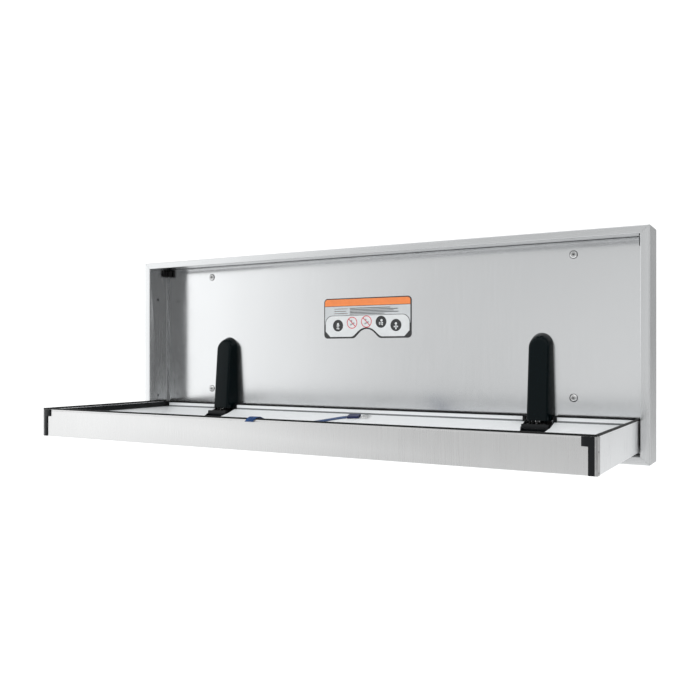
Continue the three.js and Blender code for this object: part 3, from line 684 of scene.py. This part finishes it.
LINER_WALL, LINER_CREASE, LINER_FLOOR = 3, 17, 62  # inset, and depths below the liner's top
LINER_SLOPE = math.tan(math.radians(17))
LINER_BEND = 130  # how far in from the edge the slope runs straight
LINER_CORNER, LINER_CORNER_GROWTH = 8, 0.12  # the corners' radius, and its growth per inset
POCKET_TAPER = 17  # each side of a hinge pocket comes in by this much towards its front
LINER_NODES = ["liner_" + part for part in ("floor", "front", "rear", "left", "right")]
LINER_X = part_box("liner_right")[1].x / MM
LINER_Y0 = (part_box("liner_front")[0].y - FLANGE_Y) / MM
LINER_Y1 = (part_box("liner_rear")[1].y - FLANGE_Y) / MM
LINER_TOP = (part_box("liner_front")[1].z - BASE_Z) / MM
FLOOR_HEIGHT = LINER_TOP - LINER_FLOOR


def liner_height(inset):
    """The liner's top surface at a distance in from its outer edge, in millimetres."""
    if inset <= LINER_BEND:
        return LINER_TOP - LINER_CREASE - max(0, inset - LINER_WALL) * LINER_SLOPE
    drop = liner_height(LINER_BEND) - FLOOR_HEIGHT
    run = 2 * drop / LINER_SLOPE
    left = max(0, LINER_BEND + run - inset)
    return FLOOR_HEIGHT + LINER_SLOPE * left * left / (2 * run)


def liner_ring(inset, z, steps=14):
    """The liner's outline at a distance in from its edge, with rounder corners further in."""
    radius = LINER_CORNER + LINER_CORNER_GROWTH * inset
    x = LINER_X - inset - radius
    y0, y1 = LINER_Y0 + inset + radius, LINER_Y1 - inset - radius
    outline = (arc(x, y1, radius, 0, 90, steps) + arc(-x, y1, radius, 90, 180, steps)
               + arc(-x, y0, radius, 180, 270, steps) + arc(x, y0, radius, 270, 360, steps))
    return [at(px, py, z) for px, py in outline]


def bed_liner():
    """The concave liner, as one thin sheet, and a grey strip of painted shade along its crease,
    both cut back round each hinge pocket.
    """
    thick = 4
    insets = [6.8, 8, 20, 40, 62, 85, 108, LINER_BEND, 135, 140, 145, 150, 155, 160, 166, 172]
    under = [liner_ring(d, liner_height(d) - thick) for d in reversed(insets[1:])]
    crease = LINER_TOP - LINER_CREASE
    over = [liner_ring(d, liner_height(d)) for d in insets]
    rings = under + [
        liner_ring(0.6, crease - thick), liner_ring(0, crease - thick + 1),
        liner_ring(0, LINER_TOP - 1), liner_ring(0.5, LINER_TOP - 0.2), liner_ring(1.5, LINER_TOP),
        liner_ring(2.6, LINER_TOP - 0.3), liner_ring(LINER_WALL, LINER_TOP - 1.2),
        liner_ring(LINER_WALL, crease + 1.5), liner_ring(LINER_WALL + 0.3, crease - 1.6),
        liner_ring(LINER_WALL + 1.2, crease - 2.4), liner_ring(LINER_WALL + 2.2, crease - 1.9),
        liner_ring(LINER_WALL + 2.8, crease - 0.9),
    ] + over
    mesh = mesh_of("liner", *loft(rings))
    tray = piece("bed_liner_tray", mesh, LINER, "bed", "liner_plastic", *LINER_NODES)
    # A thin grey strip round the foot of the rim wall: painted shade along the crease where the
    # rim meets the slope.
    crease_shade_rings = [liner_ring(d, crease + z) for d, z in (
        (LINER_WALL - 1, -1), (LINER_WALL - 1, 4.2), (LINER_WALL + 0.3, 4.2),
        (LINER_WALL + 0.9, 3.2), (LINER_WALL + 1.6, 0.6), (LINER_WALL + 1.8, -1))]
    points, faces = loft(crease_shade_rings + crease_shade_rings[:1], cap=False)
    painted_shade = piece("liner_crease_shade_strip", mesh_of("painted_shade", points, faces), CREASE_SHADE_GREY, "bed", "liner_plastic")
    for obj in (tray, painted_shade):
        weld(obj)
        for side, _ in SIDES:
            cut_pocket(obj, side)
        obj.data.set_sharp_from_angle(angle=SHARP)


def weld(obj):
    """Merges coincident points, so that the mesh is one closed surface."""
    bm = bmesh.new()
    bm.from_mesh(obj.data)
    bmesh.ops.remove_doubles(bm, verts=bm.verts, dist=1e-6)
    bmesh.ops.recalc_face_normals(bm, faces=bm.faces)
    bm.to_mesh(obj.data)
    bm.free()


def cut_pocket(obj, side):
    """Cuts a piece back to a hinge pocket's plan."""
    low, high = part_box("hinge_pocket_" + side)
    middle = (low.x + high.x) / 2
    rear_half = (high.x - low.x) / 2 + 0.5 * MM
    front_half = rear_half - POCKET_TAPER * MM
    kink = FLANGE_Y + 40 * MM
    front, rear = low.y - 0.5 * MM, high.y + 20 * MM
    plan = [(middle - front_half, front), (middle + front_half, front),
            (middle + rear_half, kink), (middle + rear_half, rear),
            (middle - rear_half, rear), (middle - rear_half, kink)]
    mesh = mesh_of("notch", *extruded(plan, BASE_Z, BASE_Z + 0.2, "Z"))
    finish_mesh(mesh, LINER)
    cutter = bpy.data.objects.new("notch", mesh)
    bpy.context.scene.collection.objects.link(cutter)
    modifier = obj.modifiers.new("notch_" + side, "BOOLEAN")
    modifier.operation = "DIFFERENCE"
    modifier.solver = "EXACT"
    modifier.object = cutter
    apply_modifiers(obj)
    bpy.data.objects.remove(cutter)


def pocket_collars():
    """Black collars where each hinge pocket passes through the bed's rear rim."""
    crease = LINER_TOP - LINER_CREASE
    for side, _ in SIDES:
        low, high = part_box("hinge_pocket_" + side)
        middle = (low.x + high.x) / 2
        reach, inner = (high.x - low.x) / 2 + 8 * MM, (high.x - low.x) / 2 - 2 * MM
        front = FLANGE_Y + (LINER_Y1 - LINER_WALL - 3.5) * MM
        parts = []
        for sign in (-1, 1):
            outline = rounded_rectangle(inner, reach, BASE_Z + (crease - 3) * MM,
                                        BASE_Z + (LINER_TOP + 0.8) * MM, 2.5 * MM)
            outline = [(middle + sign * x, z) for x, z in outline]
            parts.append(extruded(outline, front, high.y, "Y"))
        obj = piece("pocket_collar_" + side, mesh_of("collar", *joined(*parts)), BLACK_PLASTIC,
                    "bed", "black_plastic")
        bevelled(obj, 0.8 * MM, 3)


def apply_modifiers(obj):
    """Replaces the mesh by what its modifiers give."""
    bpy.context.view_layer.update()
    evaluated = obj.evaluated_get(bpy.context.evaluated_depsgraph_get())
    mesh = bpy.data.meshes.new_from_object(evaluated)
    obj.modifiers.clear()
    obj.data = mesh


def bed_sheets():
    """The bed's panels, trims, side guards and beams, with fine edges."""
    refined("bed_front_panel", STEEL_BED, "stainless", 0.4 * MM, 3)
    refined("bed_rear_panel", STEEL_LEVEL, "stainless", 0.3 * MM)
    refined("bed_bottom_panel", STEEL_LEVEL, "stainless", 0.5 * MM)
    for side, _ in SIDES:
        # Brighter steel on the sides than on the front: painted light.
        refined("bed_side_" + side, STEEL_BED_SIDE_LIT, "stainless", 0.4 * MM, 3)
        refined("trim_" + side, BLACK_TRIM_Y, "black_rubber", 0.5 * MM, 3)
        refined("side_guard_" + side, BLACK_PLASTIC, "black_plastic", 1.2 * MM, 4)
    for node in ("trim_front", "trim_rear_left", "trim_rear_middle", "trim_rear_right"):
        refined(node, BLACK_TRIM_X, "black_rubber", 0.5 * MM, 3)
    for node in ("bed_beam_left", "bed_beam_middle", "bed_beam_right"):
        refined(node, STEEL_PLATED, "steel", 0.4 * MM)


def corner_guards():
    """Guards on the front corners: a black front with a wide head, and a rounded metal edge."""
    split = 5.5  # the black front ends this far in from the corner
    radius = 5.0  # of the rounded edge
    leg, head, head_height = 20, 35, 21.7  # the front's two widths, and the height of its head
    rivet = [(0, 0), (2.4, 0), (2.3, 0.5), (1.5, 0.9), (0, 1.0)]
    for side, sign in SIDES:
        low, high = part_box("corner_guard_" + side)
        corner_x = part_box("bed_side_" + side)[sign > 0].x
        corner_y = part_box("bed_front_panel")[0].y

        def level(plan, z):
            return [Vector((corner_x + sign * a * MM, corner_y - b * MM, z * MM)) for a, b in plan]

        foot, top = low.z / MM, high.z / MM
        neck = top - head_height

        def front(reach, z, inset=0.0):
            plan = [(-reach + inset, 0.25), (-reach + inset, 2.0 - inset),
                    (-reach + 0.5, 2.3 - inset),
                    (-split - 0.5, 2.3 - inset), (-split, 2.0 - inset), (-split, 0.25)]
            return level(plan, z)

        rings = [front(leg, foot, 0.7), front(leg, foot + 0.7), front(leg, neck - 0.7),
                 front(head, neck), front(head, top - 0.8), front(head, top, 0.7)]
        mesh = mesh_of("guard", *loft(rings))
        piece("corner_guard_" + side + "_front", mesh, BLACK_PLASTIC, "bed", "black_plastic",
              "corner_guard_" + side)

        def nose(z, inset=0.0):
            r = radius - inset
            outer = arc(2.0 - radius, 2.3 - radius, r, 90, 0, 10)
            plan = [(-split + 0.2, 2.3 - inset)] + outer
            plan += [(2.0 - inset, -17.5 + inset), (0.25, -17.5 + inset), (0.25, 0.25),
                     (-split + 0.2, 0.25)]
            return level(plan, z)

        rings = [nose(foot, 1.0), nose(foot + 0.4, 0.3), nose(foot + 1.2), nose(top - 1.2),
                 nose(top - 0.4, 0.3), nose(top, 1.0)]
        mesh = mesh_of("nose", *loft(rings))
        piece("corner_guard_" + side + "_edge", mesh, EDGE_METAL, "bed", "stainless")
        for k, z in enumerate((foot + 7, neck - 12)):
            centre = Vector((corner_x + sign * 1.9 * MM, corner_y + 5 * MM, z * MM))
            dome = turned([(r * MM, h * MM * 0.9) for r, h in rivet], centre, (sign, 0, 0), 24)
            piece(f"guard_rivet_{side}_{k + 1}", mesh_of("rivet", *dome), BLACK_STEEL,
                  "bed", "black_steel")


def rear_corner_caps():
    """Rubber caps that carry the rear and side trims round the bed's rear corners."""
    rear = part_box("trim_rear_right")[1]
    along = rear.x / MM + 0.2
    back = (rear.y - FLANGE_Y) / MM
    top = (rear.z - BASE_Z) / MM
    thick, reach, tall = 9.6, 22, 19.5
    for side, sign in SIDES:
        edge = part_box("bed_side_" + side)[sign > 0].x * sign / MM
        plan = [(along, back - thick), (along, back)] + arc(edge - 5, back - 6, 5, 90, 0, 6)
        plan += [(edge, back - reach), (edge - thick, back - reach), (edge - thick, back - thick)]
        rings = [[at(sign * x, y, z) for x, y in plan] for z in (top - tall, top - 0.8)]
        obj = piece("rear_corner_cap_" + side, mesh_of("cap", *loft(rings)), BLACK_TRIM_X,
                    "bed", "black_rubber")
        bevelled(obj, 0.7 * MM, 3)


# --------------------------------------------------------------------- belt

STRAP_WIDTH, STRAP_THICK = 20 * MM, 1.6 * MM


def smooth_route(points, steps=5):
    """A Catmull-Rom curve through the points."""
    ends = [points[0] * 2 - points[1]] + points + [points[-1] * 2 - points[-2]]
    route = []
    for i in range(1, len(ends) - 2):
        p0, p1, p2, p3 = ends[i - 1:i + 3]
        for k in range(steps):
            t = k / steps
            route.append(0.5 * ((2 * p1) + (p2 - p0) * t + (2 * p0 - 5 * p1 + 4 * p2 - p3) * t * t
                                + (3 * p1 - p0 - 3 * p2 + p3) * t ** 3))
    return route + [points[-1]]


def strap(name, points, across_at, node):
    """A woven strap along a route, with thick rounded selvedges."""
    route = smooth_route(points)
    section = [(-1, -0.6), (-0.93, -1), (-0.45, -0.86), (0, -0.9), (0.45, -0.86), (0.93, -1),
               (1, -0.6), (1, 0.6), (0.93, 1), (0.45, 0.86), (0, 0.9), (-0.45, 0.86),
               (-0.93, 1), (-1, 0.6)]
    rings, lengths = [], [0.0]
    for i, p in enumerate(route):
        ahead = (route[min(i + 1, len(route) - 1)] - route[max(i - 1, 0)]).normalized()
        across = across_at(ahead)
        lift = across.cross(ahead)
        half = STRAP_WIDTH / 2 / lift.length  # wider where across isn't square to the route
        lift.normalize()
        rings.append([p + across * (a * half) + lift * (b * STRAP_THICK / 2) for a, b in section])
        if i:
            lengths.append(lengths[-1] + (p - route[i - 1]).length * abs(lift.length))
    points_all, faces = loft(rings)
    mesh = mesh_of(name, points_all, faces)
    layer = mesh.uv_layers.new(name="weave")
    count = len(section)
    for loop in mesh.loops:
        ring, place = divmod(loop.vertex_index, count)
        layer.data[loop.index].uv = (section[place][0] * STRAP_WIDTH / 2, lengths[ring])
    obj = piece(name, mesh, WEBBING, "bed", "webbing", node)
    return obj, lengths[-1]


def rear_strap():
    """Up the rear slope to the buckle."""
    lean = math.atan(LINER_SLOPE)
    up = Vector((0, -math.sin(lean), math.cos(lean)))
    route = [(-160, -10), (-133, 6), (-106, 22), (-82, 37), (-66, 46), (-53, 50.6)]
    points = [at(x, y, liner_height(LINER_Y1 - y) + 1.8) for x, y in route]
    return strap("strap_rear_webbing", points,
                 lambda ahead: ahead.cross(up).normalized(), "strap_rear")


def front_strap():
    """From the tray's floor, over the front rim at 45 degrees, hanging down outside it."""
    rim = (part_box("trim_front")[1].z - BASE_Z) / MM

    def slope(y):
        return liner_height(y - LINER_Y0)

    path = [(-300, FLOOR_HEIGHT + 2), (-335, FLOOR_HEIGHT + 2.6), (-370, slope(-370) + 2),
            (-410, slope(-410) + 3), (-450, slope(-450) + 8), (-478, 120.5), (-488.5, rim + 2.6),
            (-493, rim + 3.6), (-496.8, rim + 2.6), (-499, rim - 0.8), (-499.3, rim - 5),
            (-499.4, rim - 10.5)]
    hanging_end = -50
    points, travelled, last = [], 0.0, path[-1]
    for y, z in reversed(path):
        travelled += math.hypot(y - last[0], z - last[1])
        last = (y, z)
        points.append(at(hanging_end + travelled, y, z))
    points.reverse()
    return strap("strap_front_webbing", points, lambda ahead: Vector((1, 0, 0)),
                 "strap_front")


def belt():
    """The safety belt: two straps, their anchors and the two halves of the buckle."""
    rear, rear_length = rear_strap()
    front, front_length = front_strap()
    for node, material, slot, width in (
            ("strap_anchor_rear", CHROME, "chrome", 0.6),
            ("strap_anchor_front", CHROME, "chrome", 0.6),
            ("buckle_socket", NAVY, "navy_plastic", 1.8),
            ("buckle_tongue", NAVY, "navy_plastic", 0.9)):
        refined(node, material, slot, width * MM, 4)


# --------------------------------------------------------------- studio

def studio():
    """A pale floor, a soft surround that lights the table, a plain backdrop and two lamps."""
    surround, backdrop = 1.16, 1.15  # strengths
    scene = bpy.context.scene
    scene.view_settings.view_transform = "Standard"
    scene.view_settings.look = "None"
    floor_half = 14.0
    points = [(x, y, FLOOR_Z) for x, y in ((-floor_half, -floor_half), (floor_half, -floor_half),
                                           (floor_half, floor_half), (-floor_half, floor_half))]
    mesh = mesh_of("floor", points, [(0, 1, 2, 3)])
    floor = bpy.data.objects.new("floor", mesh)
    mesh.materials.append(pale_floor())
    scene.collection.objects.link(floor)
    floor.visible_glossy = False

    world = bpy.data.worlds.new("studio")
    scene.world = world
    world.use_nodes = True
    tree = world.node_tree
    tree.nodes.clear()
    direction = tree.nodes.new("ShaderNodeTexCoord").outputs["Generated"]

    def toward(axis, start, end, share):
        """1 away from a direction, changing smoothly to a share of the light towards it."""
        dot = tree.nodes.new("ShaderNodeVectorMath")
        dot.operation = "DOT_PRODUCT"
        tree.links.new(direction, dot.inputs[0])
        dot.inputs[1].default_value = Vector(axis).normalized()
        ramp = tree.nodes.new("ShaderNodeMapRange")
        ramp.interpolation_type = "SMOOTHSTEP"
        tree.links.new(dot.outputs["Value"], ramp.inputs["Value"])
        for key, value in (("From Min", math.cos(math.radians(start))),
                           ("From Max", math.cos(math.radians(end))),
                           ("To Min", 1.0), ("To Max", share)):
            ramp.inputs[key].default_value = value
        return ramp.outputs["Result"]

    def product(a, b):
        node = tree.nodes.new("ShaderNodeMath")
        node.operation = "MULTIPLY"
        for index, value in enumerate((a, b)):
            if isinstance(value, float):
                node.inputs[index].default_value = value
            else:
                tree.links.new(value, node.inputs[index])
        return node.outputs[0]

    side_gloom = toward((0.72, -0.69, 0.0), 34, 16, 0.20)
    front_gloom = toward((-0.12, -0.97, 0.10), 36, 8, 0.74)
    overhead_gloom = toward((-0.26, -0.92, 0.30), 17, 7, 0.84)
    soft_band = toward((-0.54, -0.82, 0.16), 7, 2, 0.92)
    low_gloom = toward((-0.50, -0.86, -0.10), 18, 4, 0.82)
    side_panel = toward((-0.80, -0.60, -0.02), 30, 6, 1.32)
    rear_gloom = toward((0.15, 0.985, 0.12), 24, 6, 0.36)
    strength = product(product(side_gloom, front_gloom), surround)
    for factor in (overhead_gloom, soft_band, low_gloom, side_panel, rear_gloom):
        strength = product(strength, factor)
    lit = tree.nodes.new("ShaderNodeBackground")
    lit.inputs["Color"].default_value = (0.985, 0.995, 1.0, 1)
    tree.links.new(strength, lit.inputs["Strength"])
    white = tree.nodes.new("ShaderNodeBackground")
    white.inputs["Color"].default_value = (1, 1, 1, 1)
    white.inputs["Strength"].default_value = backdrop
    path = tree.nodes.new("ShaderNodeLightPath")
    mix = tree.nodes.new("ShaderNodeMixShader")
    tree.links.new(path.outputs["Is Camera Ray"], mix.inputs[0])
    tree.links.new(lit.outputs[0], mix.inputs[1])
    tree.links.new(white.outputs[0], mix.inputs[2])
    output = tree.nodes.new("ShaderNodeOutputWorld")
    tree.links.new(mix.outputs[0], output.inputs["Surface"])

    for name, place, aim, size, power in (
            ("key", (-2.6, -3.4, 2.4), (-0.2, -0.2, -0.1), 2.4, 55),
            ("fill", (2.8, -1.0, 1.8), (0.7, -0.3, -0.2), 1.6, 18)):
        light = bpy.data.lights.new(name, "AREA")
        light.shape = "SQUARE"
        light.size = size
        light.energy = power
        lamp = bpy.data.objects.new(name, light)
        lamp.location = place
        lamp.rotation_euler = (Vector(aim) - Vector(place)).to_track_quat("-Z", "Y").to_euler()
        lamp.visible_glossy = False
        scene.collection.objects.link(lamp)


def camera():
    """Level, near the height of the cabinet's middle, and beyond its right-hand end."""
    data = bpy.data.cameras.new("camera")
    data.sensor_width = 36.0
    data.lens = 40.74
    data.shift_y = 0.00796
    data.clip_end = 60.0
    obj = bpy.data.objects.new("camera", data)
    obj.location = (1.2964, -2.3854, -0.0286)
    obj.rotation_euler = (math.radians(90), 0, math.radians(29.88))
    bpy.context.scene.collection.objects.link(obj)
    bpy.context.scene.camera = obj


camera()
studio()
cabinet_sheets()
corner_bends()
wall_screws()
hinge_covers()
hinges_and_springs()
instruction_plate()
bed_liner()
pocket_collars()
bed_sheets()
corner_guards()
rear_corner_caps()
belt()
